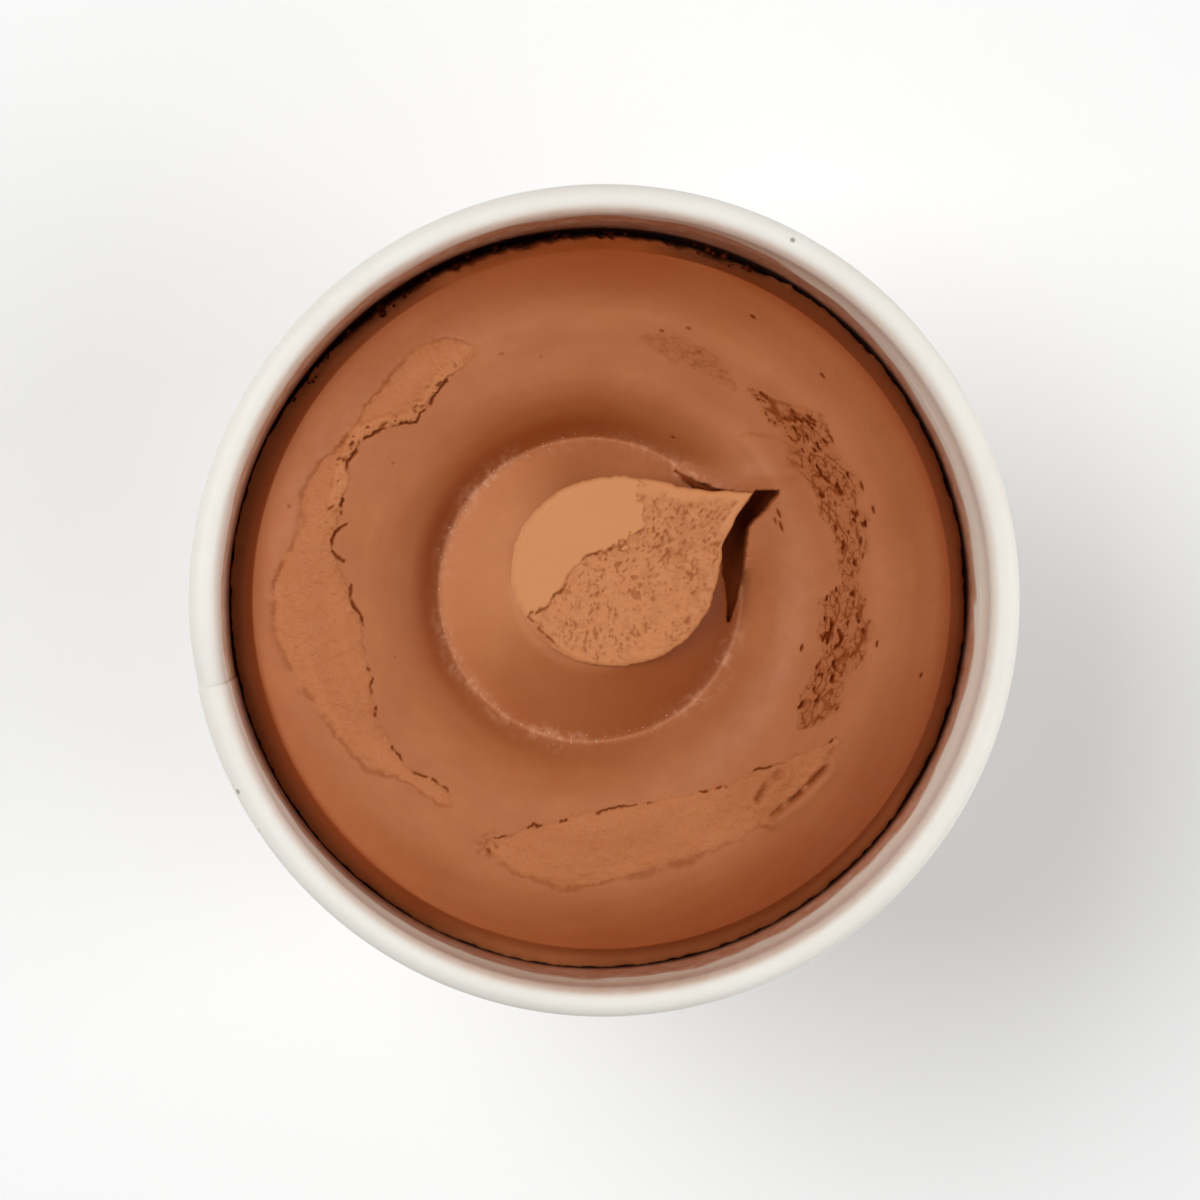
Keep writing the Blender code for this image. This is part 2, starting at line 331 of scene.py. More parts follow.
wall_turns = [360 * i / WALL_SEGMENTS for i in range(WALL_SEGMENTS)]
for seam_edge in (SEAM_DEG, SEAM_DEG + SEAM_LAP_DEG):
    wall_turns += [seam_edge + SEAM_EDGE_DEG * step / 2 for step in (-1, 0, 1, 2, 3)]
wall_turns = [math.radians(turn) for turn in sorted(wall_turns)]
side_wall = make_piece("side_wall", *turn_section(wall_turns, wall_section_at), "paper")
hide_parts("cup_wall")

spots = places(side_wall)
spot_turn = np.degrees(np.arctan2(spots[:, 1], spots[:, 0])) % 360
spot_depth = TUB_HEIGHT - spots[:, 2]
spot_radius = np.hypot(spots[:, 0], spots[:, 1])
wall_middle = FOOT_RADIUS - BOARD / 2 + spots[:, 2] * WALL_LEAN
faces_in = spot_radius < np.maximum(wall_middle, CURL_MIDDLE[0] - PAINTED_BEAD_MARGIN)
faces_in &= (spot_depth < PAINTED_BEAD_DEPTH) | (spot_radius < wall_middle)
faces_in &= spots[:, 2] > PAINTED_FROM
film_turns, *film_columns = zip(*FILM_REACH)
film_top, film_strength, smear_and_shade = (np.interp(spot_turn, film_turns, column) for column in film_columns)
film_top += FILM_WAVER * lumps(RIM_RADIUS * np.radians(spot_turn), spot_depth, FILM_WAVER_LENGTH, 5)
# The film, and the faint smear, which is partly painted shade under the bead.
film = np.maximum.reduce([
    film_strength * ease(spot_depth, film_top - FILM_FADE / 2, film_top + FILM_FADE / 2),
    FILM_CLOSED * ease(spot_depth, *FILM_CLOSES),
    smear_and_shade * ease(spot_depth, 0.0, 0.6) * (1 - 0.4 * ease(spot_depth, *SMEAR_AND_SHADE_THINS)),
])
paint_mask(side_wall, "sorbet_film", film * faces_in)
# Painted shade, darkening the wall down into the crevice, less at the left, where light falls in.
crevice_top = CREVICE_DEPTH - CREVICE_SHADE + CREVICE_LIT * ease(spots[:, 0], *CREVICE_LIT_X)
crevice_shade = ease(spot_depth, crevice_top, CREVICE_DEPTH + CREVICE_BLACK)
paint_mask(side_wall, "crevice", crevice_shade * faces_in)

BOARD_WHITE = (0.90, 0.83, 0.745)
BOARD_SHADE = (0.87, 0.795, 0.71)
FILM_BROWN = (0.44, 0.17, 0.07)
# Painted shade in the crevice, on the wall and on the sorbet's hidden side.
CREVICE_PAINTED_SHADE = (0.035, 0.008, 0.003)
SPECK_GREY = (0.25, 0.21, 0.18)
# Specks of dirt on the rim: where they are, and how far they reach.
SPECKS = (((21.5, 42.0, 92.9), 0.4), ((-42.7, -21.8, 92.2), 0.5), ((-40.2, -26.2, 91.9), 0.45))

board, board_shader = start_material("coated_board")
fibres = grain(board, 0.9, 5.0, 0.7)
cloudy = grain(board, 14.0, 2.0)
board_colour = blend_colour(board, spread(board, cloudy, 0.35, 0.65), BOARD_WHITE, BOARD_SHADE)
film_grain = spread(board, grain(board, 1.6, 4.0), 0.3, 0.62, 0.8, 1.0)
filmed = product(board, mask(board, "sorbet_film"), film_grain)
board_colour = blend_colour(board, filmed, board_colour, FILM_BROWN)
# The crevice's painted shade.
board_colour = blend_colour(board, mask(board, "crevice"), board_colour, CREVICE_PAINTED_SHADE)
board_place = add_node(board, "TexCoord").outputs["Object"]
for middle, reach in SPECKS:
    speck_place = tuple(Vector(middle) * MM)
    away = add_node(board, "VectorMath", {"operation": "DISTANCE"}, _0=board_place, _1=speck_place)
    speck = spread(board, away.outputs["Value"], reach * 0.5 * MM, reach * MM, 0.8, 0.0)
    board_colour = blend_colour(board, speck, board_colour, SPECK_GREY)
join(board, board_colour, board_shader, "Base Color")
join(board, spread(board, fibres, 0.3, 0.7, 0.46, 0.6), board_shader, "Roughness")
board_relief = relief(board, fibres, 0.03, 0.6)
join(board, relief(board, grain(board, 5.0, 2.0), 0.12, 0.35, board_relief), board_shader, "Normal")
soften(board_shader, 0.4, (2.2, 1.6, 1.2))
side_wall.data.materials.append(board)

# ---- Base -----------------------------------------------------------------------------
# A disc of the same board, pressed to a shallow cup. Its skirt stands in the foot's fold,
# so the disc is clear of the table.

BASE_HEIGHT = 7.5
BASE_BEND = 1.0

skirt_top = (ply_radius(BASE_HEIGHT - BASE_BEND, -1) - BASE_BEND, BASE_HEIGHT - BASE_BEND)
base_path = [(0.0, BASE_HEIGHT)] + straight((0, BASE_HEIGHT), (skirt_top[0], BASE_HEIGHT), 12)
base_path += arc(skirt_top, BASE_BEND, 90, 0, 8)
base_path.append((ply_radius(BOARD + PLY_GAP, -1), BOARD + PLY_GAP))
base_section = sheet_section(base_path, BOARD)[0]
base_section[:, 0] = np.maximum(base_section[:, 0], 0)
base_turns = [math.tau * i / WALL_SEGMENTS for i in range(WALL_SEGMENTS)]
base = make_piece("base", *turn_section(base_turns, lambda turn: base_section), "paper", True)
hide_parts("cup_base")
base.data.materials.append(board)
for mask_name in ("sorbet_film", "crevice"):
    paint_mask(base, mask_name, np.zeros(len(base.data.vertices)))

# ---- Sorbet ---------------------------------------------------------------------------
# One frozen mass that fills the tub. The nozzle left a ring round a peak, and a groove
# between them. The lid tore skin off the ring's crest, and the churned inside shows there.

DOME_TOP = (9.3, 5.6)
GROOVE = (18.1, 11.0)
CREST = (30.0, 4.8)
SHOULDER = (41.2, 7.2)
EDGE = (43.6, 12.5)
SIDE_DEPTH = 15.5
DOME_CENTRE = (-1.3, 1.1)
CREST_CENTRE = (-2.3, 0.3)
SPOKES = 420
RING_STEP = 0.5
INNERMOST = 7.0
FLANK_RINGS = 9
# The blank's side and bottom lie this far below its flat top, so that the two can be told apart.
BELOW_TOP = 1000

# Where the lid tore the ring's skin, about the crest's centre: degrees, inner and outer radius.
TORN_LEFT = (
    (113, 31.4, 32.0), (118, 30.3, 34.4), (124, 29.9, 35.5), (129, 28.7, 35.2), (134, 28.3, 34.4),
    (140, 30.8, 33.9), (144, 32.0, 33.9), (150, 32.2, 33.9), (153, 30.9, 35.2), (160, 30.5, 35.3),
    (166, 30.3, 34.5), (170, 30.2, 35.0), (175, 28.2, 36.2), (180, 27.4, 36.8), (187, 26.3, 36.6),
    (193, 26.4, 35.8), (199, 26.5, 34.4), (205, 27.4, 33.5), (212, 28.2, 33.1), (218, 28.6, 32.6),
    (223, 28.9, 30.6), (228, 28.1, 29.6), (234, 27.6, 29.9), (238, 28.8, 29.1),
)
TORN_FRONT = (
    (248, 30.6, 31.4), (252, 29.3, 32.6), (257, 27.4, 33.5), (264, 26.0, 34.2), (272, 25.3, 33.9),
    (279, 24.9, 33.3), (289, 25.1, 33.3), (297, 25.7, 33.4), (305, 27.1, 33.9), (312, 28.0, 34.3),
    (318, 29.3, 34.4), (325, 31.9, 34.3), (331, 33.9, 34.9),
)
TORN_DROP = 0.26
TORN_EDGE = 0.45
CRACK_DEPTH = 0.28
DRAWN_HEIGHT = 0.035
# Where the skin along a torn band's inner edge is cracked through, and where it stands up.
CRACKED = ((128, 151), (256, 267))
CRACK_LINES = (
    ((-29.6, 9.4), (-30.7, 8.8), (-31.6, 8.0), (-32.0, 7.0), (-31.9, 6.0), (-31.4, 5.2), (-30.6, 4.7)),
    ((-29.7, 1.9), (-29.9, 0.5), (-29.4, -0.6), (-28.6, -1.6), (-28.3, -2.9)),
)
RIDGE = (116, 168)
RIDGE_HEIGHT = 0.36
RIDGE_WIDTH = 2.3
# Where the torn skin lies in folds at the front band's right end.
FOLD_LINES = (
    ((18.0, -23.5), (19.0, -21.7), (20.6, -20.4)),
    ((19.7, -25.4), (22.7, -23.1), (26.1, -19.7)),
)
FOLD_DEPTH = 0.45
FOLD_BANK = 0.4
# A shallow crease that the nozzle drew behind the beak.
CREASE_LINE = ((17.0, 19.3), (19.8, 18.9), (21.3, 18.2), (22.5, 17.1))
CREASE_DEPTH = 0.16
CREASE_BANK = 0.1
# Where the front band's left end is frayed, and how widely, in square millimetres.
FRAYED_END = (-13.4, -28.7)
FRAYED_AREA = 1.8

# The porous streaks where the nozzle dragged the ring: degrees about the crest's centre, the
# streak's middle radius and its half width.
STREAK = (
    (-32, 29.5, 0.2), (-28, 29.8, 1.8), (-23, 30.2, 2.8), (-18, 30.4, 1.9), (-11, 31.0, 3.1),
    (0, 30.7, 2.7), (4, 31.1, 1.0), (8, 31.5, 2.0), (16, 32.2, 2.4), (22, 32.3, 3.0),
    (38, 32.0, 2.9), (47, 31.5, 1.0), (52, 31.2, 0.2),
)
FAINT_STREAK = ((54, 30.2, 0.4), (62, 31.0, 2.0), (70, 31.1, 1.8), (78, 31.2, 0.4))
STREAK_DEPTH = 0.42
STREAK_SWELL = 0.07
# Single drag marks and small pits: degrees, radius, half length, and strength up to 1.
MARK_DEPTH = 0.3
MARKS = (
    (59, 38.6, 0.5, 1), (43, 38.4, 0.5, 1), (22, 35.2, 0.7, 1), (17, 35.6, 0.6, 1),
    (347, 26.2, 0.55, 1), (351, 34.9, 0.5, 1), (347, 41.0, 0.4, 1), (23.5, 24.9, 0.75, 0.9),
    (20, 24.6, 0.8, 0.9), (22, 24.2, 0.5, 0.7), (69, 33.9, 0.4, 0.7), (74, 32.6, 0.4, 0.7),
    (60.8, 21.6, 0.35, 0.7), (144.8, 27.5, 0.35, 0.35), (162.7, 36.3, 0.3, 0.4), (197, 23.3, 0.3, 0.3),
    (108.9, 30.2, 0.4, 0.35), (100.4, 28.7, 0.3, 0.3),
)

# The hollow that the beak left in the ring's slope, about the dome's centre: degrees, inner and
# outer radius.
HOLLOW = (
    (-13, 16.7, 17.0), (-4, 16.2, 17.5), (8, 15.8, 18.3), (15, 16.1, 18.9), (19, 16.4, 19.4),
    (22, 16.8, 20.0), (23.5, 17.2, 20.8), (24.7, 17.7, 22.3), (26.4, 18.8, 23.4), (27.5, 19.6, 24.6),
    (28.4, 20.3, 24.8), (30, 21.4, 23.6), (32, 22.7, 22.4), (35, 21.0, 20.6), (36.5, 19.1, 19.7),
    (39.5, 17.8, 19.0), (44.5, 17.0, 18.1), (50, 17.0, 17.7), (55, 17.2, 17.5),
)
HOLLOW_FLOOR = 11.4
HOLLOW_DEEPEST = 4.2
# It is this much shallower past the beak's tip: millimetres, and the degrees it changes over.
HOLLOW_SHELF = 2.2
SHELF_TURNS = (33, 38)
# The skin stands up outside it: degrees, and its depth along the outer edge there.
LIP = (
    (2, 11.0), (8, 8.8), (14, 7.5), (26, 6.8), (31, 5.4), (34, 5.6), (38, 6.8), (48, 8.8), (58, 11.0),
)
LIP_SLOPE = 0.35
LIP_ROUNDING = 0.4

# The frost along the groove: how far it reaches to either side, and how thick it is.
FROST_REACH = 1.1
FROST_HEIGHT = 0.1

# How wide the gap between the sorbet's edge and the wall is: degrees, millimetres.
EDGE_GAP = (
    (0, 0.45), (55, 0.45), (75, 1.4), (110, 1.85), (135, 0.9), (155, 0.3), (200, 0.2),
    (240, 0.2), (290, 0.18), (325, 0.3), (360, 0.4),
)
# It is nowhere narrower than this, and the wall's inner face is this far out beside it.
LEAST_GAP = 0.04
WALL_AT_EDGE = 44.15
# At the back the outer slope stays high and drops straight into the crevice: the degrees over
# which it rises and over which it falls again, and how far.
HIGH_EDGE_START = (71, 86)
HIGH_EDGE_END = (114, 128)
HIGH_EDGE_RISE = 4.4

# How much painted shade and painted light the steep flank along the wall gets: degrees, and how much.
FLANK_SHADE = (
    (0, 0.9), (60, 0.9), (72, 0.1), (130, 0.3), (150, 0.8), (180, 1.0), (215, 1.0), (238, 1.0),
    (258, 0.2), (275, 0.1), (330, 0.1), (350, 0.6), (360, 0.9),
)
FLANK_PAINTED_LIGHT = (
    (0, 0.1), (60, 0.1), (74, 0.2), (90, 0.0), (112, 0.0), (130, 0.6), (175, 0.45), (205, 0.1),
    (240, 0.1), (264, 0.85), (325, 0.95), (348, 0.2), (360, 0.1),
)
# The middle directions of the painted shade at the right and the lower left, and of the painted
# light on the dome's side.
DARK_RIGHT_DEG, DARK_LEFT_DEG, LIT_DOME_DEG = 20, 214, 165
# How much painted shade the foot of the ring's inner slope gets, just outside the groove.
GROOVE_SHADE = (
    (0, 0.0), (60, 0.1), (100, 0.75), (165, 0.9), (195, 0.7), (225, 0.5), (250, 0.2), (300, 0.0),
    (360, 0.0),
)
# How much darker it is painted, by direction: degrees, and how much, on the outer slope, the crest,
# the ring's inner slope and the dome. On the slopes and the dome this is painted shade.
SHADED_SIDES = (
    (0, 0.45), (25, 0.55), (45, 0.45), (90, 1.0), (135, 0.5), (180, 0.05), (225, 0.3), (270, 0.85),
    (305, 1.0), (335, 0.8), (360, 0.35),
)
DARKER_CREST = (
    (0, 0.5), (45, 0.5), (80, 0.45), (120, 0.1), (290, 0.15), (315, 0.5), (340, 0.5), (360, 0.5),
)
SHADED_SLOPE = (
    (0, 0.1), (60, 0.5), (90, 1.0), (140, 1.0), (190, 0.6), (240, 0.4), (300, 0.1), (360, 0.1),
)
SHADED_DOME = (
    (0, 0.85), (40, 0.0), (70, 0.1), (100, 0.25), (130, 0.0), (210, 0.1), (270, 0.7), (315, 1.0),
    (360, 0.85),
)


def top_depth(radius):
    """Depth of the turned form below the rim, without its unevenness."""
    rise = np.clip((radius - GROOVE[0]) / (CREST[0] - GROOVE[0]), 0, 1)
    fall = np.clip((radius - CREST[0]) / (SHOULDER[0] - CREST[0]), 0, 1)
    ring = GROOVE[1] + (CREST[1] - GROOVE[1]) * (1 - (1 - rise) ** 3)
    ring = ring + (SHOULDER[1] - CREST[1]) * fall**2
    dome = np.interp(radius, (DOME_TOP[0], GROOVE[0]), (DOME_TOP[1], GROOVE[1]))
    flank = np.interp(radius, (SHOULDER[0], EDGE[0]), (0, EDGE[1] - SHOULDER[1]))
    return np.where(radius < GROOVE[0], dome, ring + flank)


def swirl_shift(radius):
    """How far the swirl's circle of this radius is off the tub's axis, in x and y."""
    stops = (DOME_TOP[0], GROOVE[0], CREST[0], SHOULDER[0])
    centres = np.array((DOME_CENTRE, DOME_CENTRE, CREST_CENTRE, (0, 0)))
    return np.interp(radius, stops, centres[:, 0]), np.interp(radius, stops, centres[:, 1])


def swirled(x, y):
    """Moves points of the round blank to where the off-centre swirl has them."""
    shift = swirl_shift(np.hypot(x, y))
    return x + shift[0], y + shift[1]


def about_crest(x, y):
    """Degrees from 0 to 360, and radius, about the middle of the crest."""
    across, up = x - CREST_CENTRE[0], y - CREST_CENTRE[1]
    return np.degrees(np.arctan2(up, across)) % 360, np.hypot(across, up)


def about_dome(x, y):
    """Degrees from -180 to 180, and radius, about the middle of the dome."""
    across, up = x - DOME_CENTRE[0], y - DOME_CENTRE[1]
    return np.degrees(np.arctan2(up, across)), np.hypot(across, up)


def by_direction(turn, table):
    """Reads a table of degrees and amounts in these directions."""
    return np.interp(turn, *zip(*table))


def away_from(turn, middle):
    """How many degrees these directions are away from the middle one."""
    return abs((turn - middle + 180) % 360 - 180)


def drawn_lumps(turn, radius, length, width, seed):
    """Lumps that the nozzle drew out along the ring, about this long and this wide."""
    return lumps(np.radians(turn) * radius / length, radius / width, 1.0, seed)


def band_reach(turn, radius, band):
    """Distance inside the inner edge and the outer edge of a band of degrees and two radii."""
    turns, inner, outer = (np.array(column) for column in zip(*band))
    turn = (turn - turns[0] + 90) % 360 - 90 + turns[0]
    end_reach = np.minimum(turn - turns[0], turns[-1] - turn) * radius * math.pi / 180
    from_inner = np.minimum(radius - np.interp(turn, turns, inner), end_reach)
    from_outer = np.minimum(np.interp(turn, turns, outer) - radius, end_reach)
    return from_inner, from_outer


def torn_edges(x, y, band):
    """Distance inside a torn band's inner edge and inside its outer edge; ragged."""
    ragged = unevenness(x, y, (2.2, 0.32, 11), (0.8, 0.24, 12), (0.35, 0.12, 13))
    from_inner, from_outer = band_reach(*about_crest(x, y), band)
    return from_inner + ragged, from_outer + ragged * 0.8


def from_line(x, y, line):
    """Distance to a line of straight stretches, and whether it's on its left (1) or right (-1)."""
    best = np.full(len(x), 1e9)
    side = np.ones(len(x))
    for (ax, ay), (bx, by) in zip(line, line[1:]):
        length = math.hypot(bx - ax, by - ay)
        share = np.clip(((x - ax) * (bx - ax) + (y - ay) * (by - ay)) / length**2, 0, 1)
        gap = np.hypot(x - ax - share * (bx - ax), y - ay - share * (by - ay))
        left_of = (bx - ax) * (y - ay) - (by - ay) * (x - ax) > 0
        side = np.where(gap < best, np.where(left_of, 1, -1), side)
        best = np.minimum(best, gap)
    return best, side


def streak_share(x, y, streak):
    """How porous the skin is here, from 0 to 1, and the holes' own depth, from 0 to 1."""
    turns, middles, halves = (np.array(column) for column in zip(*streak))
    turn, radius = about_crest(x, y)
    turn = (turn + 180) % 360 - 180
    half = np.interp(turn, turns, halves, 0, 0) + 0.01
    off = abs(radius - np.interp(turn, turns, middles)) / half
    share = ease(off + 0.3 * lumps(x, y, 1.8, 22), 1.15, 0.55) * ease(half, 0.05, 0.4)
    long_holes = drawn_lumps(turn, radius, 0.95, 0.34, 23) + 0.5 * drawn_lumps(turn, radius, 0.5, 0.25, 24)
    # A net of thin wrinkles, and a finer one.
    net = ease(abs(drawn_lumps(turn, radius, 1.5, 0.6, 25)), 0.2, 0.02)
    fine_net = ease(abs(drawn_lumps(turn, radius, 0.9, 0.45, 28)), 0.16, 0.02)
    wrinkles = 0.5 * share * np.maximum(net, 0.7 * fine_net)
    start = 0.80 - 0.45 * share * (1 + 0.6 * lumps(x, y, 2.4, 27))
    holes = np.maximum(ease(long_holes, start, start + 0.6), wrinkles)
    return share, holes * ease(share, 0.05, 0.5)


def mark_depth(x, y, wider=0.0):
    """How deep the single drag marks are here, from 0 to 1."""
    depth = np.zeros(len(x))
    for turn, radius, half_length, strength in MARKS:
        angle = math.radians(turn)
        from_x, from_y = x - CREST_CENTRE[0], y - CREST_CENTRE[1]
        outwards = from_x * math.cos(angle) + from_y * math.sin(angle) - radius
        along = from_y * math.cos(angle) - from_x * math.sin(angle)
        reach = (along / (half_length + wider)) ** 2 + (outwards / (0.2 + wider)) ** 2
        depth = np.maximum(depth, strength * np.clip(1 - reach, 0, 1) ** 0.7)
    return depth


def hollow_share(x, y):
    """1 in the beak's hollow, 0 out of it; the lip's depth; and how much of the lip is here."""
    turn, radius = about_dome(x, y)
    inside = np.minimum(*band_reach(turn, radius, HOLLOW)) + 0.1 * lumps(x, y, 0.9, 26)
    turns, _, outer = zip(*HOLLOW)
    past = radius - np.interp(turn, turns, outer)
    lip = sum(by_direction(turn + off, LIP) for off in (-3, 0, 3)) / 3
    lip -= LIP_SLOPE * np.maximum(past, 0)
    lip_share = ease(turn, 2, 8) * ease(turn, 58, 52) * ease(past, -1.0, -0.4) * ease(past, 6.5, 2.5)
    return ease(inside, -0.1, 0.14), lip, lip_share


def blank_disc():
    """The sorbet's top as a flat disc of rings, its side and bottom below, before it's shaped."""
    radii = list(np.arange(INNERMOST, SHOULDER[0] - 0.2, RING_STEP)) + [SHOULDER[0] - 0.12]
    radii += list(np.linspace(SHOULDER[0], EDGE[0], FLANK_RINGS))
    levels = [(radius, 0) for radius in radii]
    bottom = BASE_HEIGHT + BOARD / 2 + PLY_GAP
    for height in (TUB_HEIGHT - SIDE_DEPTH, 50.0, bottom):
        levels.append((ply_radius(height, 0) - BOARD / 2 - PLY_GAP, height - BELOW_TOP))
    turns = np.arange(SPOKES) * math.tau / SPOKES
    shape = bmesh.new()
    loops = []
    for radius, height in levels:
        loops.append([
            shape.verts.new((radius * math.cos(t), radius * math.sin(t), height)) for t in turns
        ])
    for inner, outer in zip(loops, loops[1:]):
        for i in range(SPOKES):
            k = (i + 1) % SPOKES
            shape.faces.new((inner[i], outer[i], outer[k], inner[k]))
    for loop, height in ((loops[0], 0), (loops[-1], bottom - BELOW_TOP)):
        middle = shape.verts.new((0, 0, height))
        for i in range(SPOKES):
            shape.faces.new((loop[i], loop[(i + 1) % SPOKES], middle))
    return shape


def refine(shape, wanted):
    """Halves the blank's top faces wherever wanted(x, y) says so of their places on the swirl."""
    top = [face for face in shape.faces if all(corner.co.z == 0 for corner in face.verts)]
    middles = np.array([face.calc_center_median()[:2] for face in top])
    chosen = wanted(*swirled(middles[:, 0], middles[:, 1]))
    edges = {edge for face, yes in zip(top, chosen) if yes for edge in face.edges}
    bmesh.ops.subdivide_edges(shape, edges=list(edges), cuts=1, use_grid_fill=True)


def is_worked(x, y):
    """Whether the surface here is torn, porous, hollow or at an edge, so that it needs finer faces."""
    dome_turn, from_dome = about_dome(x, y)
    worked = (np.hypot(x, y) > SHOULDER[0] - 0.4) | (abs(from_dome - GROOVE[0]) < 1.5)
    for band in (TORN_LEFT, TORN_FRONT):
        worked |= np.minimum(*torn_edges(x, y, band)) > -0.9
    worked |= np.minimum(*band_reach(dome_turn, from_dome, HOLLOW)) > -1.0
    for line in FOLD_LINES:
        worked |= from_line(x, y, line)[0] < 1.2
    for line in (*CRACK_LINES, CREASE_LINE):
        worked |= from_line(x, y, line)[0] < 1.0
    for streak in (STREAK, FAINT_STREAK):
        worked |= streak_share(x, y, streak)[0] > 0
    return worked | (mark_depth(x, y, 0.5) > 0)


def is_fine(x, y):
    """Whether the surface here has cracks or holes, which need the finest faces."""
    fine = mark_depth(x, y, 0.25) > 0
    for streak in (STREAK, FAINT_STREAK):
        fine |= streak_share(x, y, streak)[0] > 0.02
    for band in (TORN_LEFT, TORN_FRONT):
        fine |= abs(np.minimum(*torn_edges(x, y, band))) < 0.45
    for line in CRACK_LINES:
        fine |= from_line(x, y, line)[0] < 0.4
    hollow = hollow_share(x, y)[0]
    return fine | ((hollow > 0.01) & (hollow < 0.99))


blank = blank_disc()
refine(blank, is_worked)
refine(blank, is_fine)
bmesh.ops.triangulate(blank, faces=[face for face in blank.faces if len(face.verts) > 4])
blank.verts.index_update()
blank_places = np.array([corner.co[:] for corner in blank.verts])
blank_faces = [[corner.index for corner in face.verts] for face in blank.faces]
blank.free()

is_top = blank_places[:, 2] == 0
radius = np.hypot(blank_places[:, 0], blank_places[:, 1])
x, y = swirled(blank_places[:, 0], blank_places[:, 1])
x, y = np.where(is_top, x, blank_places[:, 0]), np.where(is_top, y, blank_places[:, 1])
crest_turn, crest_radius = about_crest(x, y)
dome_turn, from_dome = about_dome(x, y)

# The nozzle's form, a little uneven and drawn out along the ring.
depth = top_depth(radius)
depth += unevenness(x, y, (11.0, 0.16, 31), (4.0, 0.045, 32), (1.1, 0.016, 33), (0.5, 0.010, 34))
drawn = drawn_lumps(crest_turn, crest_radius, 5.0, 1.3, 35)
depth += DRAWN_HEIGHT * drawn * ease(crest_radius, 20.0, 25.0)


def tear(x, y, band):
    """A torn band: how bare, how much deeper and how cracked it is, its painted step shadow, its ridge."""
    turn = about_crest(x, y)[0]
    from_inner, from_outer = torn_edges(x, y, band)
    bare = ease(from_inner, -0.12, 0.12) * ease(from_outer, -0.1, TORN_EDGE)
    deeper = bare * (TORN_DROP + unevenness(x, y, (1.0, 0.09, 41), (0.5, 0.08, 42), (0.28, 0.045, 43)))
    most_cracked = sum(ease(turn, low - 2, low) * ease(turn, high + 2, high) for low, high in CRACKED)
    broken = unevenness(x, y, (1.5, 1.0, 44), (0.6, 0.6, 45)) + 0.3 * most_cracked
    split = ease(abs(from_inner - 0.05), 0.24, 0.06) * (from_outer > 0.3) * ease(broken, 0.1, 0.5)
    # The outline is painted shadow along the band's outer step.
    outline_width = 0.5 + 0.35 * lumps(x, y, 2.6, 50)
    outline_shade = ease(abs(from_outer - 0.05), outline_width, 0.04) * (from_inner > 0)
    outline_shade *= ease(broken, -1.0, 0.4)
    ridge = ease(from_inner, 0, 0.5) * ease(from_inner, RIDGE_WIDTH, RIDGE_WIDTH - 1)
    ridge *= ease(turn, RIDGE[0], RIDGE[0] + 5) * ease(turn, RIDGE[1], RIDGE[1] - 8)
    deeper -= ridge * (RIDGE_HEIGHT + unevenness(x, y, (1.0, 0.3, 46), (0.5, 0.12, 39)))
    ridge_cracks = ridge * ease(lumps(x, y, 0.5, 47), 0.5, 0.8)
    cracked = np.maximum.reduce([0.85 * split, 0.1 * outline_shade, 0.8 * ridge_cracks])
    return bare, deeper, cracked, outline_shade, ridge


torn, cracks_and_shade, torn_outline_shade, ridged = (np.zeros(len(x)) for _ in range(4))
for band in (TORN_LEFT, TORN_FRONT):
    bare, deeper, cracked, outline_shade, ridge = tear(x, y, band)
    depth += deeper
    torn = np.maximum(torn, bare)
    cracks_and_shade = np.maximum(cracks_and_shade, cracked)
    torn_outline_shade = np.maximum(torn_outline_shade, outline_shade)
    ridged = np.maximum(ridged, ridge)
for line in CRACK_LINES:
    gap = from_line(x, y, line)[0] + unevenness(x, y, (0.7, 0.12, 49), (0.35, 0.07, 40))
    cracks_and_shade = np.maximum(cracks_and_shade, 0.85 * ease(gap, 0.22, 0.05))
for line in FOLD_LINES:
    gap, side = from_line(x, y, line)
    bank = np.exp(-(((gap - 1.0) / 0.6) ** 2)) * (side < 0)
    depth += FOLD_DEPTH * np.exp(-((gap / 0.35) ** 2)) - FOLD_BANK * bank
    cracks_and_shade = np.maximum(cracks_and_shade, 0.6 * ease(gap, 0.28, 0.08) * ease(lumps(x, y, 1.4, 48), -0.6, 0.2))
gap, side = from_line(x, y, CREASE_LINE)
bank = np.exp(-(((gap - 0.8) / 0.5) ** 2)) * (side > 0)
depth += CREASE_DEPTH * np.exp(-((gap / 0.35) ** 2)) - CREASE_BANK * bank
frayed = np.exp(-((x - FRAYED_END[0]) ** 2 + (y - FRAYED_END[1]) ** 2) / FRAYED_AREA)
depth += frayed * unevenness(x, y, (0.9, 0.3, 37), (0.45, 0.15, 38))
cracks_and_shade = np.maximum(cracks_and_shade, 0.7 * frayed * ease(lumps(x, y, 0.5, 36), 0.1, 0.6))
depth += cracks_and_shade * CRACK_DEPTH

porous, streaky = np.zeros(len(x)), np.zeros(len(x))
for streak, strength, darkness in ((STREAK, 1.0, 1.0), (FAINT_STREAK, 0.3, 0.8)):
    share, holes = streak_share(x, y, streak)
    depth += strength * (holes * STREAK_DEPTH - share * STREAK_SWELL)
    depth += share * unevenness(x, y, (0.9, 0.12, 29), (0.45, 0.07, 30))
    porous = np.maximum(porous, strength * np.minimum(1.3 * holes, 1))
    streaky = np.maximum(streaky, darkness * share)
marks = mark_depth(x, y)
depth += marks * MARK_DEPTH

# The lip is rounded into the ring's slope, and the hollow goes down to its floor.
hollow, lip, lip_share = hollow_share(x, y)
lipped = -LIP_ROUNDING * np.log(np.exp(-depth / LIP_ROUNDING) + np.exp(-lip / LIP_ROUNDING))
depth += (lipped - depth) * lip_share
hollow_floor = HOLLOW_FLOOR - HOLLOW_SHELF * ease(dome_turn, *SHELF_TURNS)
depth += hollow * np.clip(hollow_floor - depth, 0, HOLLOW_DEEPEST)

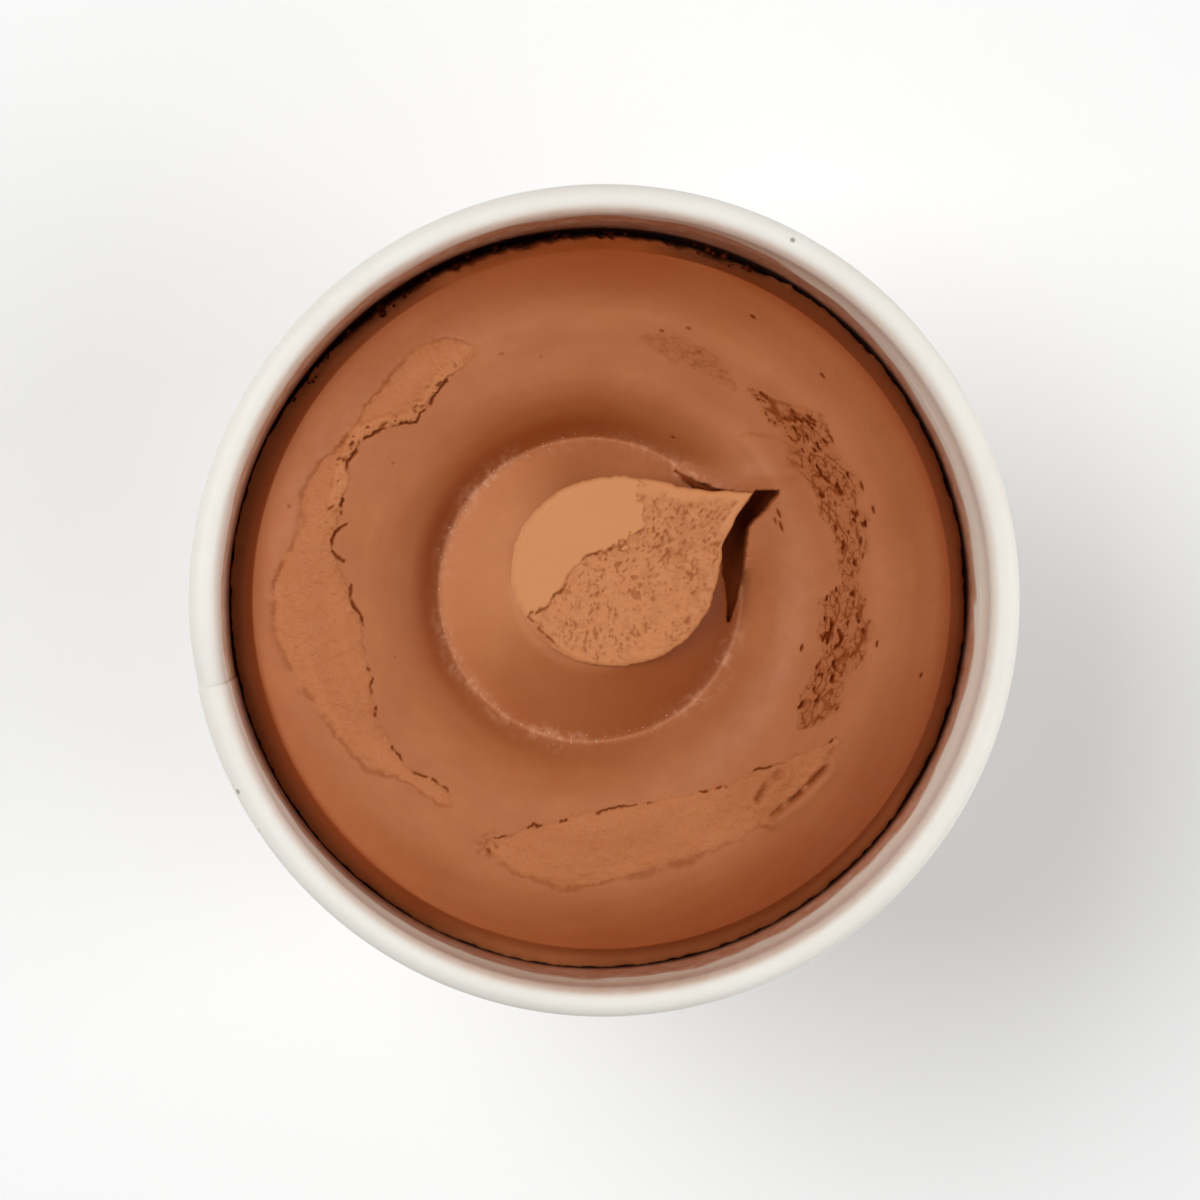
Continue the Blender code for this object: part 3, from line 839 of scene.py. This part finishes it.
# A line of frost along the groove, in patches.
from_frost = from_dome - GROOVE[0] + 0.1 + 0.3 * lumps(x, y, 1.3, 54)
frost = np.exp(-((from_frost / FROST_REACH) ** 2)) * (1 - hollow) * ease(lumps(x, y, 5.0, 52), -0.9, 0.3)
frost *= 0.15 + 0.42 * ease(unevenness(x, y, (0.55, 1.0, 51), (0.28, 0.5, 53)), -0.1, 0.7)
depth -= frost * FROST_HEIGHT

# The flank is drawn in or out to leave a ragged gap along the wall, and is high at the back.
edge_turn = np.degrees(np.arctan2(y, x)) % 360
out_on_flank = np.clip((radius - SHOULDER[0]) / (EDGE[0] - SHOULDER[0]), 0, 1) * is_top
edge_gap = by_direction(edge_turn, EDGE_GAP)
ragged = unevenness(x, y, (2.4, 0.2, 61), (0.9, 0.2, 62), (0.45, 0.16, 63))
ragged *= np.clip(edge_gap / 0.8, 0.5, 1)
ragged = np.maximum(ragged, LEAST_GAP - edge_gap)
pull = WALL_AT_EDGE - edge_gap - EDGE[0] - ragged * out_on_flank**3
pull = 1 + out_on_flank * pull / np.maximum(radius, 1)
x, y = x * pull, y * pull
high_edge = ease(edge_turn, *HIGH_EDGE_START) * (1 - ease(edge_turn, *HIGH_EDGE_END))
depth -= out_on_flank * high_edge * HIGH_EDGE_RISE

side_depth = TUB_HEIGHT - (blank_places[:, 2] + BELOW_TOP)
depth = np.where(is_top, depth, side_depth)
sorbet = make_piece("sorbet", np.stack([x, y, TUB_HEIGHT - depth], 1), blank_faces, "sorbet")
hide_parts("sorbet")

# Where it is painted darker: painted shade on the slopes and the dome, a darker crest, the
# streaks, the torn bands' painted step shadows and faint drag lines.
dome_turn %= 360
shaded_sides, shaded_dome = by_direction(edge_turn, SHADED_SIDES), by_direction(dome_turn, SHADED_DOME)
on_dome = ease(from_dome, GROOVE[0], GROOVE[0] - 0.8)
on_slope = ease(from_dome, GROOVE[0] - 0.2, GROOVE[0] + 0.4) * ease(from_dome, 28.5, 20.5)
tone_and_shade = np.maximum.reduce([
    shaded_sides * ease(radius, 31.0, 38.0),
    by_direction(edge_turn, DARKER_CREST) * ease(abs(radius - CREST[0]), 6.0, 1.5),
    by_direction(dome_turn, SHADED_SLOPE) * on_slope,
    shaded_dome * on_dome,
])
dragged = lumps(x, y, 6.0, 65) + drawn_lumps(crest_turn, about_crest(x, y)[1], 7.0, 0.9, 64)
tone_and_shade += 0.3 * streaky + 0.6 * torn_outline_shade + 0.1 * dragged * ease(radius, 12.0, 20.0)

# Painted shade, where it is darkest: the steep flank, the shaded slope above it, all along the
# right and at the lower left, the front of the dome, and the foot of the ring's inner slope.
at_side = np.maximum(
    ease(away_from(edge_turn, DARK_RIGHT_DEG), 66, 46) * ease(radius, 39.2, 41.4),
    ease(away_from(edge_turn, DARK_LEFT_DEG), 34, 16) * ease(radius, 40.4, 41.4),
)
on_flank = ease(radius, SHOULDER[0] - 0.12, SHOULDER[0] + 0.2) * (1 - high_edge)
by_groove = np.exp(-(((from_dome - GROOVE[0] - 1.7) / 1.1) ** 2))
flank = np.maximum.reduce([
    by_direction(edge_turn, FLANK_SHADE) * on_flank * (1 - 0.9 * out_on_flank),
    0.8 * shaded_sides**2 * ease(radius, 33.5, 40.6) * (1 - 0.7 * out_on_flank * (1 - high_edge)),
    0.85 * at_side * (1 - 0.5 * out_on_flank),
    0.45 * ease(shaded_dome, 0.6, 1.0) * on_dome,
    by_direction(dome_turn, GROOVE_SHADE) * by_groove,
])
# Painted light, a paler colour: on the dome's left, which faces the lamps, and on the flank's
# outer half, against its deep shade.
painted_light = np.maximum(
    0.25 * on_dome * ease(away_from(dome_turn, LIT_DOME_DEG), 75, 20),
    by_direction(edge_turn, FLANK_PAINTED_LIGHT) * ease(radius, SHOULDER[0], SHOULDER[0] + 1.6) * is_top,
)

SORBET_MASKS = (
    "torn", "churned", "tip_skin", "tip_bare", "tone_and_shade", "painted_light", "flank", "cracks_and_shade", "frost", "crevice",
)


def paint_sorbet(piece, painted):
    """Gives a piece all the masks that the sorbet's finish reads; those not given are 0."""
    for name in SORBET_MASKS:
        paint_mask(piece, name, painted.get(name, np.zeros(len(piece.data.vertices))))


paint_sorbet(sorbet, {
    "torn": torn, "churned": torn, "tip_bare": ridged * 0.5, "tone_and_shade": np.clip(tone_and_shade, 0, 1),
    # The sorbet's side and bottom, down in the crevice, are painted as its shade.
    "painted_light": painted_light, "flank": flank * is_top, "frost": frost, "crevice": ~is_top,
    # The cracks, holes and marks, and the beak's hollow, are painted dark as their shade.
    "cracks_and_shade": np.maximum.reduce([cracks_and_shade, porous, marks, hollow * 0.85]),
})

SKIN_BROWN = (0.44, 0.145, 0.050)
SKIN_DARK = (0.39, 0.120, 0.040)
# Each mask's colour, in the order in which they are laid over the skin.
MASK_COLOURS = {
    "torn": (0.475, 0.157, 0.051),
    "tip_bare": (0.56, 0.208, 0.074),
    "tip_skin": (0.59, 0.235, 0.088),
    # Painted shade, with some darker tone of the swirl.
    "tone_and_shade": (0.32, 0.080, 0.016),
    # Painted light.
    "painted_light": (0.82, 0.34, 0.13),
    # Painted shade.
    "flank": (0.26, 0.048, 0.006),
}
# Painted shade in cracks, holes, pits, pores and the beak's hollow.
CRACK_SHADE_BROWN = (0.14, 0.020, 0.003)
FROST_PINK = (0.62, 0.31, 0.175)

chocolate, chocolate_shader = start_material("chocolate_sorbet")
mottle = spread(chocolate, grain(chocolate, 7.0, 4.0, 0.65), 0.35, 0.7)
colour = blend_colour(chocolate, mottle, SKIN_BROWN, SKIN_DARK)
for mask_name, tint in MASK_COLOURS.items():
    colour = blend_colour(chocolate, mask(chocolate, mask_name), colour, tint)
churned = mask(chocolate, "churned")
# Fine pores in the torn skin, painted dark as their shade.
pores = spread(chocolate, grain(chocolate, 0.55, 4.0, 0.75), 0.58, 0.76, 0.0, 0.3)
colour = blend_colour(chocolate, product(chocolate, churned, pores), colour, CRACK_SHADE_BROWN)
# The painted shade in cracks, holes and the hollow.
crack_shade = mask(chocolate, "cracks_and_shade")
colour = blend_colour(chocolate, crack_shade, colour, CRACK_SHADE_BROWN)
colour = blend_colour(chocolate, mask(chocolate, "frost"), colour, FROST_PINK)
# The crevice's painted shade on the sorbet's side and bottom.
colour = blend_colour(chocolate, mask(chocolate, "crevice"), colour, CREVICE_PAINTED_SHADE)
join(chocolate, colour, chocolate_shader, "Base Color")
gloss = spread(chocolate, grain(chocolate, 2.5), 0.3, 0.7, 0.5, 0.66)
join(chocolate, gloss, chocolate_shader, "Roughness")
churned_relief = product(chocolate, churned, grain(chocolate, 0.9, 3.0, 0.65))
surface = relief(chocolate, churned_relief, 0.4, 0.8)
surface = relief(chocolate, grain(chocolate, 0.35, 4.0, 0.7), 0.05, 0.5, surface)
surface = relief(chocolate, grain(chocolate, 1.8, 3.0), 0.10, 0.35, surface)
join(chocolate, surface, chocolate_shader, "Normal")
join(chocolate, spread(chocolate, crack_shade, 0.0, 0.6, 0.28, 0.02), chocolate_shader, "Specular IOR Level")
soften(chocolate_shader, 0.12, (1.0, 0.45, 0.25))
sorbet.data.materials.append(chocolate)

# ---- Folded peak ----------------------------------------------------------------------
# The swirl's peak, folded over and pressed flat under the lid, with its beak hanging over
# the groove. Its upper left kept a smooth pressed skin; the rest is bare and finely pitted.

TIP_CENTRE = (1.1, 3.45)
TIP_HALF_LENGTH = 12.1
TIP_HALF_WIDTH = 11.2
TIP_TOP_DEPTH = 4.6
TIP_THICKNESS = 1.6
BEAK_DEG = 29.3
BEAK_REACH = 7.0
BEAK_SPREAD_DEG = 13
BEAK_SPREAD_BELOW_DEG = 9
BEAK_THINNING = 0.45
TIP_SPOKES = 360
# Millimetres along the fold's rim to a radian, for the rim's unevenness.
RIM_PER_RADIAN = 12.0
# How far the bare part lies below the smooth skin, and how deep its pits are.
SKIN_STEP = 0.22
TIP_HOLE_DEPTH = 0.16

# The ragged edge of the smooth skin, from the left end to the back: x and y.
SKIN_EDGE = ((-12.5, -3.2), (-9.1, -2.0), (-6.9, -0.7), (-4.9, 1.6), (-3.5, 4.2), (-1.8, 5.5),
             (0.2, 6.2), (1.7, 6.3), (2.3, 7.4), (3.3, 8.5), (4.0, 10.4), (3.8, 12.5), (3.8, 17.0))
# Where the bare part's rim is cracked at the left end.
RIM_LINE = ((-9.0, -1.9), (-8.0, -3.0), (-7.0, -4.0), (-6.0, -4.8))


def tip_reach(turn):
    """How far the fold's outline is from its centre, in this direction in radians."""
    past = (turn - math.radians(BEAK_DEG) + math.pi) % math.tau - math.pi
    spread_of = np.where(past > 0, math.radians(BEAK_SPREAD_DEG), math.radians(BEAK_SPREAD_BELOW_DEG))
    beak = np.exp(-abs(past) / spread_of)
    oval = 1 / np.hypot(np.cos(turn) / TIP_HALF_LENGTH, np.sin(turn) / TIP_HALF_WIDTH)
    return oval + BEAK_REACH * beak, beak


def from_skin_edge(x, y):
    """Distance to the smooth skin's ragged edge; positive on the smooth side."""
    best, side = from_line(x, y, SKIN_EDGE)
    return best * side + unevenness(x, y, (1.6, 0.28, 71), (0.6, 0.2, 72), (0.3, 0.08, 73))


def tip_rings():
    """The fold's section: share of its reach, and share of its thickness, from top to bottom."""
    top = [(share, 0.0) for share in np.linspace(0.02, 0.94, 60)]
    lip = [(0.955, 0.02), (0.97, 0.06), (0.982, 0.13), (0.992, 0.24), (0.998, 0.36), (1.0, 0.5)]
    under = [(0.99, 0.68), (0.965, 0.85), (0.92, 0.96), (0.86, 1.0), (0.5, 1.0), (0.02, 1.0)]
    return top + lip + under


# The spokes are closest together at the beak.
tip_turns = np.arange(TIP_SPOKES) / TIP_SPOKES * 2 - 1
tip_turns = np.sign(tip_turns) * abs(tip_turns) ** 1.5 * math.pi + math.radians(BEAK_DEG)
rings = tip_rings()
ring_share = np.repeat([share for share, _ in rings], TIP_SPOKES)
ring_level = np.repeat([level for _, level in rings], TIP_SPOKES)
all_turns = np.tile(tip_turns, len(rings))
reach, beak = tip_reach(all_turns)
along_rim = all_turns * RIM_PER_RADIAN
out = reach * ring_share * (1 + unevenness(along_rim, 0, (1.1, 0.010, 81), (0.5, 0.008, 82)))
tip_x = TIP_CENTRE[0] + out * np.cos(all_turns)
tip_y = TIP_CENTRE[1] + out * np.sin(all_turns)
on_top = ease(ring_level, 0.6, 0.1)

# Towards the back the skin peters out, and a smooth margin runs along the edge to the beak.
petering = ease(tip_x, 0.5, 3.0) * ease(tip_y, 4.0, 6.5)
smooth_side = from_skin_edge(tip_x, tip_y)
smooth_side += petering * (unevenness(tip_x, tip_y, (0.9, 1.0, 76), (0.4, 0.6, 77)) + 0.5)
is_skin = ease(smooth_side, -0.1, 0.1)
from_rim = reach * (1 - ring_share)
margin = ease(from_rim + 0.5 * lumps(tip_x, tip_y, 1.5, 74), 2.4, 1.2)
margin *= ease(tip_y, 7.0, 9.0) * ease(tip_x, 1.0, 4.0)
lip_margin = ease(from_rim, 0.75, 0.3) * ease(tip_x - tip_y, -6.0, 2.0)
bare = (1 - is_skin) * (1 - 0.9 * margin) * (1 - 0.7 * lip_margin)
pitting = unevenness(tip_x, tip_y, (1.4, 0.05, 83), (0.6, 0.07, 84), (0.32, 0.05, 85))
holes = lumps(tip_x / 0.26, tip_y / 0.38, 1.0, 86) + 0.3 * lumps(tip_x, tip_y, 1.6, 88)
holes = ease(holes, 0.18, 0.9) * ease(tip_x - tip_y, -14.0, -4.0)

# The fold lies a little lower towards its left end and its front.
lower = 0.55 * ease(tip_x, 0.0, -9.5) + 0.3 * ease(tip_y, 0.0, -7.0) + 0.12 * lumps(tip_x, tip_y, 5.0, 87)
tip_depth = TIP_TOP_DEPTH + ring_level * TIP_THICKNESS * (1 - BEAK_THINNING * beak * ring_share)
tip_depth += on_top * (lower + bare * (SKIN_STEP + pitting + holes * TIP_HOLE_DEPTH))

tip_corners = np.stack([tip_x, tip_y, TUB_HEIGHT - tip_depth], 1)
tip_faces = []
for ring in range(len(rings) - 1):
    for i in range(TIP_SPOKES):
        k = (i + 1) % TIP_SPOKES
        here, there = ring * TIP_SPOKES, (ring + 1) * TIP_SPOKES
        tip_faces.append((here + i, there + i, there + k, here + k))
tip_faces.append(tuple(range(TIP_SPOKES)))
tip_faces.append(tuple(range((len(rings) - 1) * TIP_SPOKES, len(rings) * TIP_SPOKES)))
tip = make_piece("folded_peak", tip_corners, tip_faces, "sorbet")
tip.data.materials.append(chocolate)

# Painted shadow along the skin's raised edge, and a thin crack at the rim's left end.
broken = ease(unevenness(tip_x, tip_y, (1.7, 1.0, 89), (0.6, 0.5, 90)), -0.35, 0.25)
line_width = 0.27 + 0.12 * lumps(tip_x, tip_y, 1.2, 79)
skin_line = ease(abs(smooth_side), line_width, 0.02) * on_top * (0.2 + 0.6 * broken) * (1 - 0.6 * petering)
rim_gap = from_line(tip_x, tip_y, RIM_LINE)[0] + 0.08 * lumps(tip_x, tip_y, 0.5, 70)
skin_line = np.maximum(skin_line, 0.7 * ease(rim_gap, 0.24, 0.06))
# Painted shade in the pits and under the skin's edge, and a darker, uneven tone on the bare part, most
# towards the upper right.
tip_tone_and_shade = np.maximum(holes * bare * 0.65, skin_line * 0.9) + 0.16 * bare * ease(tip_x + tip_y, 4.0, 14.0)
tip_tone_and_shade += bare * unevenness(tip_x, tip_y, (0.8, 0.2, 78), (0.4, 0.16, 75))
paint_sorbet(tip, {
    "tip_bare": np.ones(len(tip_x)),
    "tip_skin": np.maximum(is_skin, 0.75 * margin) * on_top,
    "churned": bare * on_top,
    "tone_and_shade": np.clip(tip_tone_and_shade, 0, 1) * on_top,
    "cracks_and_shade": np.maximum(skin_line * 0.8, holes * bare * 0.08) * on_top,
})

# ---- Frost ----------------------------------------------------------------------------
# Ice crystals that grew in the air trapped under the lid, along the foot of the dome.

FROST_COUNT = 240
FROST_TURNS = (60, 345)
ICE_WHITE = (0.86, 0.70, 0.58)
ICE_BROWN = (0.72, 0.46, 0.30)


def scatter(count, seed, place, size_of):
    """Corners and faces of many small eight-sided grains."""
    rng = np.random.default_rng(seed)
    eight = ((0, 2, 4), (2, 1, 4), (1, 3, 4), (3, 0, 4), (2, 0, 5), (1, 2, 5), (3, 1, 5), (0, 3, 5))
    corners, faces = [], []
    for _ in range(count):
        middle, size = np.array(place(rng)), size_of(rng)
        spin = rng.uniform(0, math.tau)
        first = len(corners)
        for way in ((1, 0, 0), (-1, 0, 0), (0, 1, 0), (0, -1, 0), (0, 0, 1), (0, 0, -1)):
            stretch = size * rng.uniform(0.6, 1.3)
            turned = (way[0] * math.cos(spin) - way[1] * math.sin(spin),
                      way[0] * math.sin(spin) + way[1] * math.cos(spin), way[2] * 0.8)
            corners.append(middle + np.array(turned) * stretch)
        faces += [tuple(first + i for i in face) for face in eight]
    return corners, faces


def frost_place(rng):
    turn = math.radians(rng.uniform(*FROST_TURNS))
    radius = GROOVE[0] - 0.2 + rng.normal(0, 0.36)
    level = TUB_HEIGHT - float(top_depth(radius)) + 0.02
    return DOME_CENTRE[0] + radius * math.cos(turn), DOME_CENTRE[1] + radius * math.sin(turn), level


frost_corners, frost_faces = scatter(
    FROST_COUNT, 91, frost_place, lambda rng: 0.035 + 0.09 * rng.random() ** 4
)
crystals = make_piece("ice_crystals", frost_corners, frost_faces, "sorbet")
ice, ice_shader = start_material("frost")
join(ice, blend_colour(ice, grain(ice, 2.0), ICE_WHITE, ICE_BROWN), ice_shader, "Base Color")
ice_shader.inputs["Roughness"].default_value = 0.35
crystals.data.materials.append(ice)

# ---- Crumbs ---------------------------------------------------------------------------
# Frozen crumbs broken off the edge, lying in the crevice at the upper left.

CRUMB_COUNT = 60
CRUMB_TURNS = (66, 150)
CRUMB_RADII = (42.3, 43.6)
CRUMB_DEPTHS = (9.6, 12.5)
# The crumbs take the cracks' painted shade, and part of the crevice's.
CRUMB_SHADE = {"cracks_and_shade": 1.0, "crevice": 0.65}


def crumb_place(rng):
    turn, radius = math.radians(rng.uniform(*CRUMB_TURNS)), rng.uniform(*CRUMB_RADII)
    return radius * math.cos(turn), radius * math.sin(turn), TUB_HEIGHT - rng.uniform(*CRUMB_DEPTHS)


crumb_corners, crumb_faces = scatter(
    CRUMB_COUNT, 95, crumb_place, lambda rng: 0.2 + 0.6 * rng.random() ** 2
)
crumbs = make_piece("edge_crumbs", crumb_corners, crumb_faces, "sorbet")
crumbs.data.materials.append(chocolate)
paint_sorbet(crumbs, {name: np.full(len(crumb_corners), dark) for name, dark in CRUMB_SHADE.items()})

# ---- Studio ---------------------------------------------------------------------------
# A plain pale floor, and soft square lamps: a high one at the back left, a weaker high one at the
# front right, and a low one at the right, which lights the rim. The walls all round are pale. The
# camera is almost straight above, a little to the left.

FLOOR_SIZE = 3.0
FLOOR_GREY = 0.93
# Each lamp: degrees round from +X and above the rim, its side in metres, and its power.
LAMPS = {
    "key_lamp": (155, 57, 0.6, 8.7),
    "fill_lamp": (-30, 58, 0.7, 2.6),
    "rim_lamp": (-3, 15, 0.7, 5.0),
}
LAMP_DISTANCE = 1.1
ROOM_LIGHT = 0.24
CAMERA_HEIGHT = 450.0
CAMERA_LEAN = (-0.0704, 0.028)
AIM = (-0.93, 0.23)
FRAME_WIDTH = 139.2
SENSOR = 36.0

floor_mesh = bpy.data.meshes.new("floor")
half = FLOOR_SIZE / 2
floor_corners = [(-half, -half, 0), (half, -half, 0), (half, half, 0), (-half, half, 0)]
floor_mesh.from_pydata(floor_corners, [], [(0, 1, 2, 3)])
floor = bpy.data.objects.new("floor", floor_mesh)
bpy.context.scene.collection.objects.link(floor)
floor_finish, floor_shader = start_material("pale_floor")
floor_shader.inputs["Base Color"].default_value = (FLOOR_GREY, FLOOR_GREY, FLOOR_GREY, 1)
floor_shader.inputs["Roughness"].default_value = 0.8
floor.data.materials.append(floor_finish)


def aim(thing, target):
    """Turns a lamp or camera to look at the target, with +Y upwards in its picture."""
    ahead = (target - thing.location).normalized()
    right = ahead.cross(Vector((0, 1, 0))).normalized()
    upwards = right.cross(ahead)
    thing.rotation_euler = Matrix((right, upwards, -ahead)).transposed().to_euler()


rim_middle = Vector((0, 0, TUB_HEIGHT * MM))
for name, (turn_deg, rise_deg, size, power) in LAMPS.items():
    light = bpy.data.lights.new(name, "AREA")
    light.size = size
    light.energy = power
    lamp = bpy.data.objects.new(name, light)
    turn, rise = math.radians(turn_deg), math.radians(rise_deg)
    way = Vector((math.cos(rise) * math.cos(turn), math.cos(rise) * math.sin(turn), math.sin(rise)))
    lamp.location = rim_middle + way * LAMP_DISTANCE
    bpy.context.scene.collection.objects.link(lamp)
    aim(lamp, rim_middle)

world = bpy.data.worlds.new("room")
world.use_nodes = True
world.node_tree.nodes["Background"].inputs["Color"].default_value = (1, 1, 1, 1)
world.node_tree.nodes["Background"].inputs["Strength"].default_value = ROOM_LIGHT
bpy.context.scene.world = world
bpy.context.scene.view_settings.view_transform = "Standard"

camera_data = bpy.data.cameras.new("camera")
camera = bpy.data.objects.new("camera", camera_data)
camera.location = (
    CAMERA_LEAN[0] * CAMERA_HEIGHT * MM,
    CAMERA_LEAN[1] * CAMERA_HEIGHT * MM,
    (TUB_HEIGHT + CAMERA_HEIGHT) * MM,
)
bpy.context.scene.collection.objects.link(camera)
target = Vector((AIM[0] * MM, AIM[1] * MM, TUB_HEIGHT * MM))
aim(camera, target)
camera_data.sensor_width = SENSOR
camera_data.lens = SENSOR * (target - camera.location).length / (FRAME_WIDTH * MM)
camera_data.clip_start = 0.01
bpy.context.scene.camera = camera
